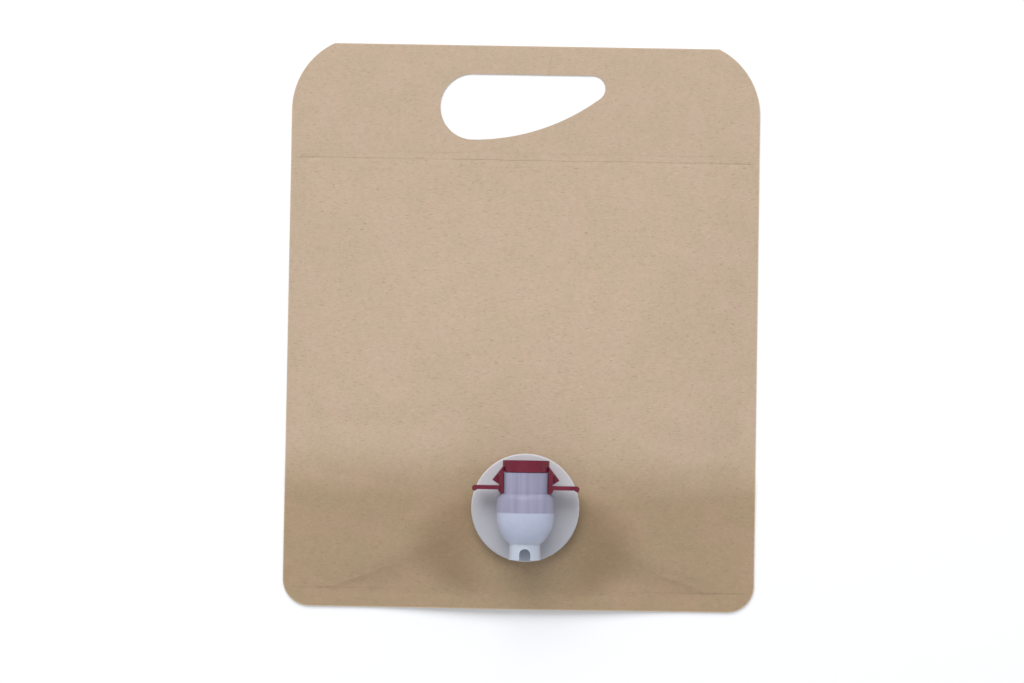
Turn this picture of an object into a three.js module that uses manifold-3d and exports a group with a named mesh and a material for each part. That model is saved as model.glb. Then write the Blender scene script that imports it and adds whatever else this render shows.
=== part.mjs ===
// A kraft paper stand-up pouch with a die-cut carry handle and a press tap, empty and lying on its back.
// Units are millimetres. +Z points up, out of the front panel, and +Y points to the handle.
// The origin is on the surface that the pouch lies on, under the middle of the pouch.
import * as THREE from "three";
import { mergeVertices } from "three/addons/utils/BufferGeometryUtils.js";
import Module from "manifold-3d";

const wasm = await Module();
wasm.setup();

// Pouch: two panels and a bottom gusset of kraft laminate, heat-sealed along the edges.
const POUCH_WIDTH = 220;
const POUCH_HEIGHT = 264;
const FILM = 0.2; // one ply of laminate
const SIDE_SEAL = 8;
const BOTTOM_SEAL = 9;
const HEAD_HEIGHT = 54; // the sealed head with the handle, from the top edge down to its crease
const TOP_CORNER_RADIUS = 35;
const TOP_CORNER_DROP = 31.4; // from the top edge down to the centre of each top corner's arc
const BOTTOM_CORNER_RADIUS = 12.5;
const CAVITY_CORNER_RADIUS = 10;
const GUSSET_DEPTH = 55; // from the bottom edge up to the gusset's fold
const GUSSET_GAP = 0.3; // between the gusset's two legs
const GUSSET_FOLD_WALL = 0.5;
const GUSSET_RUN = 12; // over which the front panel drops from the gusset's fold to two plies
const LIP_LIFT = 4; // how far the tap pulls the front lip off the back lip
const LIP_LIFT_REACH = 80; // to each side of the tap
const PANEL_GAP = 0.3; // least space between the panels inside the seals
const SEAL_RAMP = 2;
const AIR_RISE = 0.8;
const RIDGE_RISE = 4.2; // the gusset's fold and the gland hold the front panel up in a low ridge
const RIDGE_ABOVE_FOLD = 17; // from the gusset's fold to the ridge's crest
const RIDGE_WIDTH_ABOVE = 75;
const RIDGE_WIDTH_BELOW = 34;
const TENT_POWER = 1.5; // how fast the front panel falls away from the tap

// Handle: a teardrop hole, flat on top, made of two round ends and one long arc below.
const HANDLE_BELOW_TOP = 13.5;
const HANDLE_LEFT_RADIUS = 15.5;
const HANDLE_RIGHT_RADIUS = 6;
const HANDLE_SPAN = 56; // between the centres of the two round ends
const HANDLE_UNDER_RADIUS = 100;
const HANDLE_SHIFT = -1.6;

// Clearances between separate pieces.
const FIT_GAP = 0.3;
const WELD_GAP = 0.05;

// Tap: where it sits, its disc and the spigot that plugs into the gland.
const TAP_X = 2.6;
const TAP_FROM_BOTTOM = 47.6;
const DISC_RADIUS = 25;
const DISC_THICK = 1.6;
const DISC_EDGE_RADIUS = 0.6;
const DISC_ABOVE_PANEL = 6;
const SPIGOT_RADIUS = 12.1;
const SPIGOT_WALL = 1.6;
const SPIGOT_LENGTH = 13.7;
const SPIGOT_TAIL_GAP = 0.4; // from the spigot's end to the gusset that it lies on
const BEAD_HEIGHT = 0.75; // snap bead that holds the tap in the gland
const BEAD_WIDTH = 1;
const BEAD_BELOW_DISC = 5;

// Gland: the welded-in neck that the tap plugs into.
const GLAND_WALL = 1.6;
const GLAND_FLANGE_RADIUS = 22;
const GLAND_FLANGE_THICK = 1.2;
const GLAND_SKIRT = 2.5; // below the flange, inside the pouch
const GLAND_COLLAR_REACH = 2.5;
const GLAND_COLLAR_THICK = 1.2;
const GLAND_COLLAR_PITCH = 3.2;
const FLANGE_TO_PLATEAU = 1.5; // the panel stays flat this far past the flange

// Barrel: turned about an upright axis in front of the disc. Heights are from the disc's centre.
const BARREL_FROM_DISC = 11.9; // from the disc's face to the barrel's axis
const BARREL_RADIUS = 10.7;
const BARREL_WALL = 2.1;
const RIM_STEP = 1.05;
const RING_BOTTOM = 16.6;
const RING_HEIGHT = 5.3;
const RIM_RISE = 1; // of the barrel's rim inside the ring
const BULGE_RADIUS = 13.2;
const BULGE_WALL = 1.4;
const BULGE_TOP = 3.6;
const BULGE_BOTTOM = -3;
const SHOULDER_HEIGHT = 3.2;
const DOME_HEIGHT = 15.7;
const NOZZLE_RADIUS = 7;
const NOZZLE_FLARE = 0.35;
const NOZZLE_WALL = 1.4;
const NOZZLE_BOTTOM = -23.5;
const NOTCH_WIDTH = 5.1;
const NOTCH_HEIGHT = 5.2;
const SEAT_TOP = 3.6; // where the bore starts to open into the chamber at 45 degrees
const INLET_BOTTOM = 4.3;
const INLET_RADIUS = 9.2;
const INLET_NECK_WALL = 1.3;

// Valve: plug, stem, diaphragm and button.
const PLUG_RADIUS = 10.2;
const PLUG_TOP_RADIUS = 7.6;
const PLUG_BOTTOM = -2;
const PLUG_WALL = 1.2;
const PLUG_WEB = 2.6;
const STEM_RADIUS = 2.4;
const STEM_COLLAR_RADIUS = 4;
const STEM_COLLAR_THICK = 1;
const STEM_HEAD_RADIUS = 3.4;
const STEM_HEAD_THICK = 1.2;
const FIN_THICK = 1.2;
const FIN_TOP = 14.5;
const DIAPHRAGM_THICK = 0.8;
const BUTTON_TOP_GAP = 0.2; // from the button's crown to the top of the ring
const BUTTON_CAP_RADIUS = 4.6;
const BUTTON_CAP_THICK = 1;
const BUTTON_CROWN = 0.3;
const BUTTON_NECK_RADIUS = 3.4;
const BUTTON_NECK_LENGTH = 2.2;
const PEG_RADIUS = 1.7;
const PEG_LENGTH = 1.5;

// Grip: the red ring, its two arms, the web on each arm and the two finger wings.
const RING_LIP = 1;
const RING_LIP_REACH = 1.3; // past the ring's bore
const RING_WALL_ABOVE_LIP = 1;
const ARM_THICK = 2;
const ARM_HALF_DEPTH = 4.5;
const ARM_BOTTOM = 6.8;
const ARM_TOE_REACH = 1; // beyond the barrel, at the arm's bottom
const ARM_FOOT_REACH = 2.2; // where the wing leaves the arm
const ARM_WAIST_REACH = 0.9; // in the notch between the wing and the web
const WEB_TIP_REACH = 4.7;
const WEB_TIP_HEIGHT = 12.9;
const WEB_TOP_HEIGHT = 19;
const WEB_THICK = 1.6;
const WING_HEIGHT = 9.1;
const WING_TIP = 24.6;
const WING_THICK = 1.8;
const WING_BEAD_RADIUS = 1.3;
const WING_HALF_DEPTH = 6.8;
const WING_CORNER_RADIUS = 5;

// Fineness of round surfaces.
const ROUND_STEPS = 48;
const BARREL_STEPS = 36;
const EDGE_STEP = 13; // between points along the pouch's straight edges
const BOTTOM_EDGE_STEP = 9;
const CORNER_STEPS = 7;
const MERGE_DISTANCE = 1e-4;
const OVERCUT = 1;

// Places that follow from the sizes above.
const HALF_WIDTH = POUCH_WIDTH / 2;
const TOP_EDGE = POUCH_HEIGHT / 2;
const BOTTOM_EDGE = -POUCH_HEIGHT / 2;
const CAVITY_HALF_WIDTH = HALF_WIDTH - SIDE_SEAL;
const CAVITY_TOP = TOP_EDGE - HEAD_HEIGHT;
const CAVITY_BOTTOM = BOTTOM_EDGE + BOTTOM_SEAL;
const FOLD_Y = BOTTOM_EDGE + GUSSET_DEPTH;
const TAP_Y = BOTTOM_EDGE + TAP_FROM_BOTTOM;
const TAP = new THREE.Vector2(TAP_X, TAP_Y);
const GUSSET_CEILING = 2 * FILM + GUSSET_GAP; // underside of the gusset's front leg, where it lies flat
const DISC_BACK = GUSSET_CEILING + FILM + SPIGOT_TAIL_GAP + SPIGOT_LENGTH;
const PLATEAU_HEIGHT = DISC_BACK - DISC_ABOVE_PANEL;
const PLATEAU_RADIUS = GLAND_FLANGE_RADIUS + FLANGE_TO_PLATEAU;
const GLAND_BORE = SPIGOT_RADIUS + FIT_GAP;
const GLAND_RADIUS = GLAND_BORE + GLAND_WALL;
const BORE_RADIUS = BARREL_RADIUS - BARREL_WALL;
const SPIGOT_BORE = SPIGOT_RADIUS - SPIGOT_WALL;
const RIM_RADIUS = BARREL_RADIUS - RIM_STEP;
const RIM_TOP = RING_BOTTOM + RIM_RISE;
const RING_TOP = RING_BOTTOM + RING_HEIGHT;
const CHAMBER_RADIUS = BULGE_RADIUS - BULGE_WALL;
const DIAPHRAGM_FOOT = RIM_TOP + FIT_GAP;
const RING_BORE = RIM_RADIUS + FIT_GAP;
const LIP_BOTTOM = DIAPHRAGM_FOOT + DIAPHRAGM_THICK + FIT_GAP;
const BUTTON_TOP = RING_TOP - BUTTON_TOP_GAP;
const BUTTON_CAP_BOTTOM = BUTTON_TOP - BUTTON_CAP_THICK;
const BUTTON_NECK_BOTTOM = BUTTON_CAP_BOTTOM - BUTTON_NECK_LENGTH;
const QUARTER = Math.PI / 2;

// Joining and cutting

function solidOf(geometry) {
  const bare = new THREE.BufferGeometry();
  bare.setAttribute("position", geometry.getAttribute("position"));
  bare.setIndex(geometry.index);
  const merged = mergeVertices(bare, MERGE_DISTANCE);
  const mesh = new wasm.Mesh({
    numProp: 3,
    vertProperties: merged.getAttribute("position").array,
    triVerts: new Uint32Array(merged.index.array),
  });
  return new wasm.Manifold(mesh);
}

function geometryOf(solid) {
  const mesh = solid.getMesh();
  const geometry = new THREE.BufferGeometry();
  geometry.setAttribute("position", new THREE.BufferAttribute(mesh.vertProperties, 3));
  geometry.setIndex(new THREE.BufferAttribute(mesh.triVerts, 1));
  geometry.computeVertexNormals();
  return geometry;
}

const joined = (...solids) => solids.reduce((whole, next) => whole.add(next));
const cut = (solid, ...tools) => tools.reduce((rest, tool) => rest.subtract(tool), solid);

// Turned about +Y. The profile's points are [radius, height], up the outside.
function turned(profile, steps) {
  const points = profile.map(([radius, height]) => new THREE.Vector2(radius, height));
  return new THREE.LatheGeometry(points, steps);
}

const turnedUp = (profile) => solidOf(turned(profile, BARREL_STEPS));
const turnedOut = (profile) => solidOf(turned(profile, ROUND_STEPS).rotateX(QUARTER));

// A closed ring with a rectangular section.
const band = (inner, outer, low, high) => [
  [inner, low],
  [outer, low],
  [outer, high],
  [inner, high],
  [inner, low],
];

const plug = (radius, low, high) => [
  [0, low],
  [radius, low],
  [radius, high],
  [0, high],
];

// An outline drawn in X and Y, given depth from low to high along Z.
function prism(shape, low, high, curveSegments = CORNER_STEPS) {
  const settings = { depth: high - low, bevelEnabled: false, curveSegments };
  return solidOf(new THREE.ExtrudeGeometry(shape, settings).translate(0, 0, low));
}

const polygon = (points) => new THREE.Shape(points.map(([x, y]) => new THREE.Vector2(x, y)));

// Points of an ellipse's arc as [radius, height] pairs, from one angle to another.
function ellipseArc(height, halfWidth, halfHeight, from, to, steps) {
  return Array.from({ length: steps + 1 }, (_, i) => {
    const angle = from + ((to - from) * i) / steps;
    return [halfWidth * Math.cos(angle), height + halfHeight * Math.sin(angle)];
  });
}

// Eased step from 0 to 1 as value goes from start to end.
const eased = (value, start, end) => {
  const t = THREE.MathUtils.clamp((value - start) / (end - start), 0, 1);
  return t * t * (3 - 2 * t);
};

// Pouch outline

function evenly(from, to, step) {
  const count = Math.max(1, Math.round(from.distanceTo(to) / step));
  return Array.from({ length: count }, (_, i) => from.clone().lerp(to, i / count));
}

function cornerArc(x, y, radius, from, to) {
  return Array.from({ length: CORNER_STEPS }, (_, i) => {
    const angle = from + ((to - from) * i) / CORNER_STEPS;
    return new THREE.Vector2(x + radius * Math.cos(angle), y + radius * Math.sin(angle));
  });
}

// The pouch's outer edge, anticlockwise. Each top corner's arc meets the top edge at an angle.
function pouchOutline() {
  const topX = HALF_WIDTH - TOP_CORNER_RADIUS;
  const topY = TOP_EDGE - TOP_CORNER_DROP;
  const lowX = HALF_WIDTH - BOTTOM_CORNER_RADIUS;
  const lowY = BOTTOM_EDGE + BOTTOM_CORNER_RADIUS;
  const meet = Math.asin(TOP_CORNER_DROP / TOP_CORNER_RADIUS);
  const meetX = topX + TOP_CORNER_RADIUS * Math.cos(meet);
  const at = (x, y) => new THREE.Vector2(x, y);
  return [
    ...evenly(at(HALF_WIDTH, lowY), at(HALF_WIDTH, topY), EDGE_STEP),
    ...cornerArc(topX, topY, TOP_CORNER_RADIUS, 0, meet),
    ...evenly(at(meetX, TOP_EDGE), at(-meetX, TOP_EDGE), EDGE_STEP),
    ...cornerArc(-topX, topY, TOP_CORNER_RADIUS, Math.PI - meet, Math.PI),
    ...evenly(at(-HALF_WIDTH, topY), at(-HALF_WIDTH, lowY), EDGE_STEP),
    ...cornerArc(-lowX, lowY, BOTTOM_CORNER_RADIUS, Math.PI, 3 * QUARTER),
    ...evenly(at(-lowX, BOTTOM_EDGE), at(lowX, BOTTOM_EDGE), BOTTOM_EDGE_STEP),
    ...cornerArc(lowX, lowY, BOTTOM_CORNER_RADIUS, 3 * QUARTER, 4 * QUARTER),
  ];
}

// The inner edge of the seals, anticlockwise.
function cavityOutline() {
  const x = CAVITY_HALF_WIDTH - CAVITY_CORNER_RADIUS;
  const top = CAVITY_TOP - CAVITY_CORNER_RADIUS;
  const bottom = CAVITY_BOTTOM + CAVITY_CORNER_RADIUS;
  return [
    ...cornerArc(x, top, CAVITY_CORNER_RADIUS, 0, QUARTER),
    ...cornerArc(-x, top, CAVITY_CORNER_RADIUS, QUARTER, 2 * QUARTER),
    ...cornerArc(-x, bottom, CAVITY_CORNER_RADIUS, 2 * QUARTER, 3 * QUARTER),
    ...cornerArc(x, bottom, CAVITY_CORNER_RADIUS, 3 * QUARTER, 4 * QUARTER),
  ];
}

// How far a ray from the tap's centre runs before it crosses a closed outline.
function reach(direction, outline) {
  let farthest = 0;
  outline.forEach((point, i) => {
    const a = point.clone().sub(TAP);
    const b = outline[(i + 1) % outline.length].clone().sub(TAP);
    const side = b.clone().sub(a);
    const across = direction.cross(side);
    if (Math.abs(across) < Number.EPSILON) return;
    const along = a.cross(side) / across;
    const share = a.cross(direction) / across;
    if (along > 0 && share >= 0 && share <= 1) farthest = Math.max(farthest, along);
  });
  return farthest;
}

// Front panel

// How far the front lip stands off the back lip at this x, and how much of that is left at this y.
function lipLift(x, y) {
  const share = Math.min(1, Math.abs(x - TAP_X) / LIP_LIFT_REACH);
  const legFlat = TAP_Y - SPIGOT_RADIUS - SPIGOT_WALL;
  return LIP_LIFT * Math.cos(share * QUARTER) ** 2 * (1 - eased(y, CAVITY_BOTTOM, legFlat));
}

// Height of the front face where the plies are sealed together.
function sealHeight(x, y) {
  const gusset = 1 - eased(y, FOLD_Y, FOLD_Y + GUSSET_RUN);
  return 2 * FILM + (2 * FILM + GUSSET_GAP) * gusset + lipLift(x, y);
}

// The low ridge across the pouch, steeper below its crest than above it.
function ridgeRise(y) {
  const aboveCrest = y - FOLD_Y - RIDGE_ABOVE_FOLD;
  const width = aboveCrest > 0 ? RIDGE_WIDTH_ABOVE : RIDGE_WIDTH_BELOW;
  return RIDGE_RISE * Math.exp(-((aboveCrest / width) ** 2));
}

// Height of the front face at a distance from the tap's centre, along one ray.
function panelHeight(ray, distance) {
  if (distance <= PLATEAU_RADIUS) return PLATEAU_HEIGHT;
  const at = ray.direction.clone().multiplyScalar(distance).add(TAP);
  const sealed = Math.max(0, distance - ray.seal);
  const open = PANEL_GAP * (1 - Math.min(1, sealed / SEAL_RAMP));
  if (distance >= ray.seal) return sealHeight(at.x, at.y) + open;
  const edge = ray.direction.clone().multiplyScalar(ray.seal).add(TAP);
  const foot = sealHeight(edge.x, edge.y) + PANEL_GAP;
  const share = (distance - PLATEAU_RADIUS) / (ray.seal - PLATEAU_RADIUS);
  const tent = (PLATEAU_HEIGHT - foot) * (1 - share) ** TENT_POWER;
  const rise = AIR_RISE + ridgeRise(at.y);
  return foot + tent + rise * Math.sin(Math.PI * share);
}

// A solid between the front panel, lowered by drop, and the level floor. Each ray from the tap's
// centre carries one point for each station, a function of the ray that gives a distance.
function panelSolid(rays, stations, drop, floor) {
  const rings = stations.map((station) =>
    rays.map((ray) => {
      const distance = station(ray);
      const at = ray.direction.clone().multiplyScalar(distance).add(TAP);
      return [at.x, at.y, panelHeight(ray, distance) - drop];
    }),
  );
  rings.push(rings.at(-1).map(([x, y]) => [x, y, floor]));
  const points = rings.flat();
  const crown = points.push([TAP.x, TAP.y, PLATEAU_HEIGHT - drop]) - 1;
  const base = points.push([TAP.x, TAP.y, floor]) - 1;
  const faces = [];
  rays.forEach((_, i) => {
    const next = (i + 1) % rays.length;
    faces.push([crown, i, next]);
    for (let ring = 0; ring < rings.length - 1; ring++) {
      const [inner, outer] = [ring * rays.length, (ring + 1) * rays.length];
      faces.push([inner + i, outer + i, outer + next], [inner + i, outer + next, inner + next]);
    }
    const last = (rings.length - 1) * rays.length;
    faces.push([base, last + next, last + i]);
  });
  return facetSolid(points, faces);
}

// A solid between a level floor and the ceiling, a function of x and y, over a grid.
function gridSolid(xs, ys, ceiling, floor) {
  const points = [];
  ys.forEach((y) => xs.forEach((x) => points.push([x, y, ceiling(x, y)], [x, y, floor])));
  const index = (column, row, low) => 2 * (row * xs.length + column) + low;
  const faces = [];
  const wall = (a, b) => faces.push([a, a + 1, b + 1], [a, b + 1, b]);
  for (let row = 0; row < ys.length - 1; row++) {
    for (let column = 0; column < xs.length - 1; column++) {
      for (const low of [0, 1]) {
        const [a, b] = [index(column, row, low), index(column + 1, row, low)];
        const [c, d] = [index(column + 1, row + 1, low), index(column, row + 1, low)];
        faces.push(...(low ? [[a, c, b], [a, d, c]] : [[a, b, c], [a, c, d]]));
      }
    }
    wall(index(0, row + 1, 0), index(0, row, 0));
    wall(index(xs.length - 1, row, 0), index(xs.length - 1, row + 1, 0));
  }
  for (let column = 0; column < xs.length - 1; column++) {
    wall(index(column, 0, 0), index(column + 1, 0, 0));
    wall(index(column + 1, ys.length - 1, 0), index(column, ys.length - 1, 0));
  }
  return facetSolid(points, faces);
}

function facetSolid(points, faces) {
  const geometry = new THREE.BufferGeometry();
  geometry.setAttribute("position", new THREE.Float32BufferAttribute(points.flat(), 3));
  geometry.setIndex(faces.flat());
  return solidOf(geometry);
}

const spread = (from, to, count) =>
  Array.from({ length: count + 1 }, (_, i) => THREE.MathUtils.lerp(from, to, i / count));

// Handle hole

function handleOutline() {
  const top = TOP_EDGE - HANDLE_BELOW_TOP;
  const length = HANDLE_LEFT_RADIUS + HANDLE_SPAN + HANDLE_RIGHT_RADIUS;
  const leftX = HANDLE_SHIFT - length / 2 + HANDLE_LEFT_RADIUS;
  const left = new THREE.Vector2(leftX, top - HANDLE_LEFT_RADIUS);
  const right = new THREE.Vector2(left.x + HANDLE_SPAN, top - HANDLE_RIGHT_RADIUS);
  const toLeft = HANDLE_UNDER_RADIUS - HANDLE_LEFT_RADIUS;
  const toRight = HANDLE_UNDER_RADIUS - HANDLE_RIGHT_RADIUS;
  const apart = left.distanceTo(right);
  const along = (toLeft ** 2 - toRight ** 2 + apart ** 2) / (2 * apart);
  const off = Math.sqrt(toLeft ** 2 - along ** 2);
  const axis = right.clone().sub(left).divideScalar(apart);
  const middle = left.clone().addScaledVector(axis, along);
  const under = middle.addScaledVector(new THREE.Vector2(-axis.y, axis.x), off);
  const leftAngle = left.clone().sub(under).angle();
  const rightAngle = right.clone().sub(under).angle();
  const shape = new THREE.Shape();
  shape.absarc(left.x, left.y, HANDLE_LEFT_RADIUS, QUARTER, leftAngle, false);
  shape.absarc(under.x, under.y, HANDLE_UNDER_RADIUS, leftAngle, rightAngle, false);
  shape.absarc(right.x, right.y, HANDLE_RIGHT_RADIUS, rightAngle, 5 * QUARTER, false);
  return shape;
}

// Pieces

function pouch() {
  const seals = cavityOutline();
  const rays = pouchOutline().map((point) => {
    const direction = point.clone().sub(TAP);
    const edge = direction.length();
    direction.divideScalar(edge);
    return { direction, edge, seal: reach(direction, seals) };
  });
  const inTent = (share) => (ray) => THREE.MathUtils.lerp(PLATEAU_RADIUS, ray.seal, share);
  const tent = [0, 0.08, 0.2, 0.36, 0.54, 0.74, 0.9, 1].map(inTent);
  const past = (ray) => ray.seal + SEAL_RAMP;
  const body = panelSolid(rays, [...tent, past, (ray) => ray.edge], 0, 0);
  const space = panelSolid(rays, tent, FILM, FILM);

  const columns = spread(-CAVITY_HALF_WIDTH, CAVITY_HALF_WIDTH, 22);
  const rows = (low, high) => [low, ...spread(CAVITY_BOTTOM, TAP_Y - SPIGOT_RADIUS, 5), high];
  const slitCeiling = (x, y) => GUSSET_CEILING + lipLift(x, y);
  const slitRows = rows(BOTTOM_EDGE - OVERCUT, FOLD_Y - GUSSET_FOLD_WALL);
  const slit = gridSolid(columns, slitRows, slitCeiling, 2 * FILM);
  const legRows = rows(BOTTOM_EDGE, FOLD_Y);
  const legs = gridSolid(columns, legRows, (x, y) => slitCeiling(x, y) + FILM, 0);

  const handle = prism(handleOutline(), -OVERCUT, 2 * FILM + OVERCUT, 18);
  const neckHole = turnedOut(plug(GLAND_RADIUS + FIT_GAP, -FILM - OVERCUT, OVERCUT));
  const placedHole = neckHole.translate([TAP.x, TAP.y, PLATEAU_HEIGHT]);
  return cut(body, cut(space, legs), slit, handle, placedHole);
}

// The gland, from the disc's back face down: zero is that face.
function gland() {
  const top = -FIT_GAP;
  const flangeTop = -DISC_ABOVE_PANEL - FILM - WELD_GAP;
  const flangeBottom = flangeTop - GLAND_FLANGE_THICK;
  const collarRadius = GLAND_RADIUS + GLAND_COLLAR_REACH;
  const grooveRadius = SPIGOT_RADIUS + BEAD_HEIGHT + FIT_GAP;
  const grooveHalf = BEAD_WIDTH / 2 + FIT_GAP;
  const collar = (level) => turnedOut(band(GLAND_BORE, collarRadius, level - GLAND_COLLAR_THICK, level));
  return cut(
    joined(
      turnedOut(band(GLAND_BORE, GLAND_RADIUS, flangeBottom - GLAND_SKIRT, top)),
      turnedOut(band(GLAND_BORE, GLAND_FLANGE_RADIUS, flangeBottom, flangeTop)),
      collar(top),
      collar(top - GLAND_COLLAR_PITCH),
    ),
    turnedOut(plug(grooveRadius, -BEAD_BELOW_DISC - grooveHalf, -BEAD_BELOW_DISC + grooveHalf)),
  );
}

// The tap's body. Zero is the middle of the disc's back face.
function tapBody() {
  const disc = turnedOut([
    [0, 0],
    [DISC_RADIUS - DISC_EDGE_RADIUS, 0],
    [DISC_RADIUS, DISC_EDGE_RADIUS],
    [DISC_RADIUS, DISC_THICK - DISC_EDGE_RADIUS],
    [DISC_RADIUS - DISC_EDGE_RADIUS, DISC_THICK],
    [0, DISC_THICK],
  ]);
  const bead = plug(
    SPIGOT_RADIUS + BEAD_HEIGHT,
    -BEAD_BELOW_DISC - BEAD_WIDTH / 2,
    -BEAD_BELOW_DISC + BEAD_WIDTH / 2,
  );
  const spigot = joined(turnedOut(plug(SPIGOT_RADIUS, -SPIGOT_LENGTH, DISC_THICK)), turnedOut(bead));
  const neck = turnedOut(plug(INLET_RADIUS + INLET_NECK_WALL, 0, DISC_THICK + BARREL_FROM_DISC));
  const spigotBore = turnedOut(plug(SPIGOT_BORE, -SPIGOT_LENGTH - OVERCUT, 0));
  const axis = [0, 0, DISC_THICK + BARREL_FROM_DISC];
  return cut(
    joined(disc, spigot, neck, barrelOutside().translate(axis)),
    spigotBore,
    barrelInside().translate(axis),
    inlet(),
    notch().translate(axis),
  );
}

function barrelOutside() {
  const nozzleAngle = -Math.acos(NOZZLE_RADIUS / BULGE_RADIUS);
  const shoulderWidth = BULGE_RADIUS - BARREL_RADIUS;
  const shoulder = ellipseArc(BULGE_TOP, shoulderWidth, SHOULDER_HEIGHT, 0, QUARTER, 5);
  return turnedUp([
    [0, NOZZLE_BOTTOM],
    [NOZZLE_RADIUS + NOZZLE_FLARE, NOZZLE_BOTTOM],
    ...ellipseArc(BULGE_BOTTOM, BULGE_RADIUS, DOME_HEIGHT, nozzleAngle, 0, 9),
    ...shoulder.map(([across, height]) => [BARREL_RADIUS + across, height]),
    [BARREL_RADIUS, RING_BOTTOM - FIT_GAP],
    [RIM_RADIUS, RING_BOTTOM - FIT_GAP],
    [RIM_RADIUS, RIM_TOP],
    [0, RIM_TOP],
  ]);
}

function barrelInside() {
  const outlet = NOZZLE_RADIUS - NOZZLE_WALL;
  const outletAngle = -Math.acos(outlet / CHAMBER_RADIUS);
  const seatDrop = CHAMBER_RADIUS - BORE_RADIUS;
  return turnedUp([
    [0, NOZZLE_BOTTOM - OVERCUT],
    [outlet + NOZZLE_FLARE, NOZZLE_BOTTOM - OVERCUT],
    ...ellipseArc(BULGE_BOTTOM, CHAMBER_RADIUS, DOME_HEIGHT - BULGE_WALL, outletAngle, 0, 8),
    [CHAMBER_RADIUS, SEAT_TOP - seatDrop],
    [BORE_RADIUS, SEAT_TOP],
    [BORE_RADIUS, RIM_TOP + OVERCUT],
    [0, RIM_TOP + OVERCUT],
  ]);
}

// The way from the spigot into the barrel: the part of a round hole above the valve's seat.
function inlet() {
  const low = Math.asin(INLET_BOTTOM / INLET_RADIUS);
  const shape = new THREE.Shape();
  shape.absarc(0, 0, INLET_RADIUS, low, Math.PI - low, false);
  return prism(shape, -OVERCUT, DISC_THICK + BARREL_FROM_DISC, 2 * CORNER_STEPS);
}

// The arched notch in the front of the nozzle.
function notch() {
  const radius = NOTCH_WIDTH / 2;
  const spring = NOZZLE_BOTTOM + NOTCH_HEIGHT - radius;
  const shape = new THREE.Shape();
  shape.moveTo(-radius, NOZZLE_BOTTOM - OVERCUT);
  shape.lineTo(radius, NOZZLE_BOTTOM - OVERCUT);
  shape.absarc(0, spring, radius, 0, Math.PI, false);
  return prism(shape, 0, NOZZLE_RADIUS + OVERCUT + NOZZLE_FLARE, 2 * CORNER_STEPS);
}

// The red grip, about the barrel's axis.
function grip() {
  const lipTop = LIP_BOTTOM + RING_LIP;
  const lipRadius = RING_BORE - RING_LIP_REACH;
  const mouth = BARREL_RADIUS - RING_WALL_ABOVE_LIP;
  const ring = turnedUp([
    [RING_BORE, RING_BOTTOM],
    [BARREL_RADIUS, RING_BOTTOM],
    [BARREL_RADIUS, RING_TOP],
    [mouth, RING_TOP],
    [mouth, lipTop],
    [lipRadius, lipTop],
    [lipRadius, LIP_BOTTOM],
    [RING_BORE, LIP_BOTTOM],
    [RING_BORE, RING_BOTTOM],
  ]);
  return joined(ring, side(1), side(-1));
}

// Outline of one arm and its web, seen from the front. Side is 1 on the right and -1 on the left.
function armOutline(sign) {
  const inside = (RING_BORE + BARREL_RADIUS) / 2;
  const wingTop = WING_HEIGHT + WING_BEAD_RADIUS;
  return polygon(
    [
      [inside, ARM_BOTTOM],
      [BARREL_RADIUS + ARM_TOE_REACH, ARM_BOTTOM],
      [BARREL_RADIUS + ARM_FOOT_REACH, wingTop - WING_THICK],
      [BARREL_RADIUS + ARM_FOOT_REACH, wingTop],
      [BARREL_RADIUS + ARM_WAIST_REACH, wingTop],
      [BARREL_RADIUS + WEB_TIP_REACH, WEB_TIP_HEIGHT],
      [BARREL_RADIUS, WEB_TOP_HEIGHT],
      [inside, WEB_TOP_HEIGHT],
    ].map(([x, y]) => [sign * x, y]),
  );
}

// One side of the grip: an arm that hugs the barrel and hangs from the ring, its web and its wing.
function side(sign) {
  const inner = BARREL_RADIUS + FIT_GAP;
  const outer = inner + ARM_THICK;
  const outline = armOutline(sign);
  const clear = joined(
    turnedUp(plug(inner, ARM_BOTTOM - OVERCUT, RING_BOTTOM)),
    turnedUp(plug(RING_BORE + FIT_GAP, RING_BOTTOM - OVERCUT, RING_TOP)),
  );
  const arm = turnedUp(plug(outer, ARM_BOTTOM, RING_TOP));
  const hugging = arm.intersect(prism(outline, -ARM_HALF_DEPTH, ARM_HALF_DEPTH));
  const web = prism(outline, -WEB_THICK / 2, WEB_THICK / 2);
  return joined(cut(joined(hugging, web), clear), wing(sign, inner + ARM_THICK / 2));
}

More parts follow.
